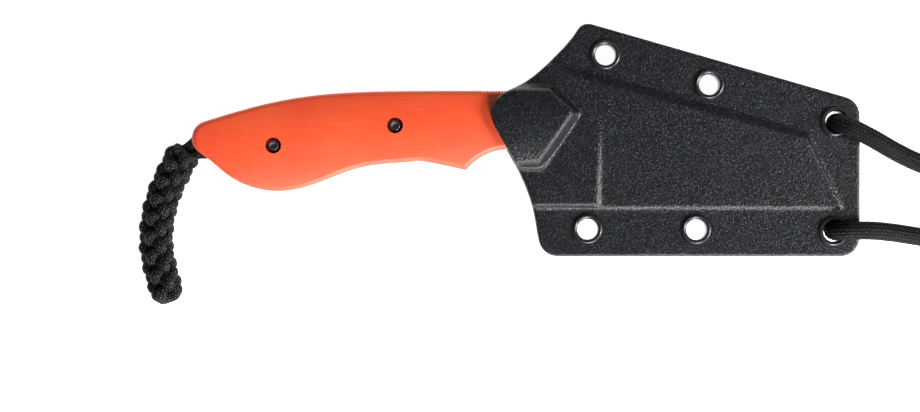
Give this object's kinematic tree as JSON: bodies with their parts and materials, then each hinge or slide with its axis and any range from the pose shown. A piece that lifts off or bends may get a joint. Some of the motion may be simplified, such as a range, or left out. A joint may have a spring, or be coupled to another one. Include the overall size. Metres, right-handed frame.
{
  "type": "fixed-blade rigging knife with sheath",
  "caption": "Compact fixed-blade rigging knife in a riveted two-sheet sheath, with contoured handle scales, a braided fob and a neck cord.",
  "frame": {"origin": "middle of the knife and sheath in plan, on the surface that they lie on", "axes": "+X from the handle's butt to the sheath's toe, +Y from the cutting edge to the spine, +Z out of the front face"},
  "size_m": [0.2516, 0.0744, 0.0142],
  "materials": {
    "blade_steel": "satin",
    "handle_laminate": "fine-milled orange glass laminate",
    "fastener_steel": "blackened",
    "sheath_plastic": "fine pebble grain",
    "eyelet_metal": "semi-gloss black",
    "fob_cord": "woven",
    "neck_cord": "woven",
    "tie_strap": "woven"
  },
  "bodies": {
    "sheath": {"sheath_front_shell": "sheath_plastic", "sheath_rear_shell": "sheath_plastic", "eyelet_top_left": "eyelet_metal", "eyelet_top_middle": "eyelet_metal", "eyelet_top_right": "eyelet_metal", "eyelet_low_left": "eyelet_metal", "eyelet_low_middle": "eyelet_metal", "eyelet_low_right": "eyelet_metal", "neck_cord_bridge": "neck_cord", "neck_cord_upper": "neck_cord", "neck_cord_lower": "neck_cord", "neck_cord_coil": "neck_cord", "neck_cord_ends": "neck_cord", "neck_cord_knot": "neck_cord", "coil_tie": "tie_strap"},
    "knife": {"blade": "blade_steel", "front_scale": "handle_laminate", "rear_scale": "handle_laminate", "lanyard_pin": "fastener_steel", "butt_barrel": "fastener_steel", "butt_front_screw": "fastener_steel", "butt_rear_screw": "fastener_steel", "grip_barrel": "fastener_steel", "grip_front_screw": "fastener_steel", "grip_rear_screw": "fastener_steel"},
    "fob": {"fob_loop": "fob_cord", "fob_braid": "fob_cord"}
  },
  "joints": [
    {"name": "knife_draw", "type": "slide", "parent": "sheath", "child": "knife", "axis": [-1, 0, 0], "range_m": [0, 0.09]},
    {"name": "fob_swing", "type": "hinge", "parent": "knife", "child": "fob", "pos_m": [-0.0755, -0.0001, 0.007], "axis": [0, 0, 1], "range_deg": [-80, 5]}
  ]
}
